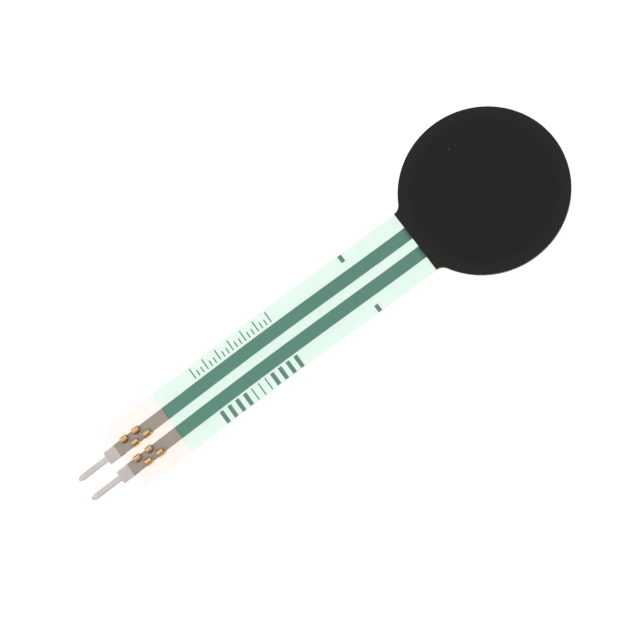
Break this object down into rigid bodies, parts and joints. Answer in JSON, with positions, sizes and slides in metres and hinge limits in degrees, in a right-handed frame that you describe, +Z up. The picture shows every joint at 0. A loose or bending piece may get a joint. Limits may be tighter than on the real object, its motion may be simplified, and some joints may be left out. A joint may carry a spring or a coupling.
{
  "type": "force sensing resistor",
  "caption": "Round thin-film force sensor: black disc head on a clear film tail with mint coat, printed silver tracks and crimped solder pins.",
  "frame": {"origin": "centre of the round head's underside", "axes": "+Z up out of the printed side, +X from the pins to the head along the tail, +Y to the left seen from the pins"},
  "size_m": [0.0614, 0.0182, 0.0011],
  "materials": {
    "clear_film": "clear polyester film, glossy",
    "silver_ink": "printed silver and carbon ink, satin",
    "mint_coat": "translucent mint-green coat, glossy",
    "spacer_adhesive": "cream adhesive sheet",
    "carbon_ink": "matte carbon ink",
    "black_backing": "matte black sheet",
    "contact_metal": "tin-plated bronze, gold-toned at the barbs"
  },
  "bodies": {
    "root": {"backing_sheet": "black_backing", "carbon_layer": "carbon_ink", "code_bar_1": "silver_ink", "code_bar_2": "silver_ink", "code_bar_3": "silver_ink", "code_bar_4": "silver_ink", "code_bar_5": "silver_ink", "code_bar_6": "silver_ink", "code_bar_7": "silver_ink", "code_bar_8": "silver_ink", "contact_left": "contact_metal", "contact_right": "contact_metal", "electrode_left": "silver_ink", "electrode_right": "silver_ink", "fine_bar_1": "silver_ink", "fine_bar_2": "silver_ink", "fine_bar_3": "silver_ink", "front_film": "clear_film", "index_tick_left": "silver_ink", "index_tick_right": "silver_ink", "rear_film": "clear_film", "scale_mark_01": "silver_ink", "scale_mark_02": "silver_ink", "scale_mark_03": "silver_ink", "scale_mark_04": "silver_ink", "scale_mark_05": "silver_ink", "scale_mark_06": "silver_ink", "scale_mark_07": "silver_ink", "scale_mark_08": "silver_ink", "scale_mark_09": "silver_ink", "scale_mark_10": "silver_ink", "scale_mark_11": "silver_ink", "scale_mark_12": "silver_ink", "scale_mark_13": "silver_ink", "scale_mark_14": "silver_ink", "scale_mark_15": "silver_ink", "scale_mark_16": "silver_ink", "scale_mark_17": "silver_ink", "scale_mark_18": "silver_ink", "scale_mark_19": "silver_ink", "spacer_ring": "spacer_adhesive", "tail_coat": "mint_coat"}
  },
  "joints": []
}
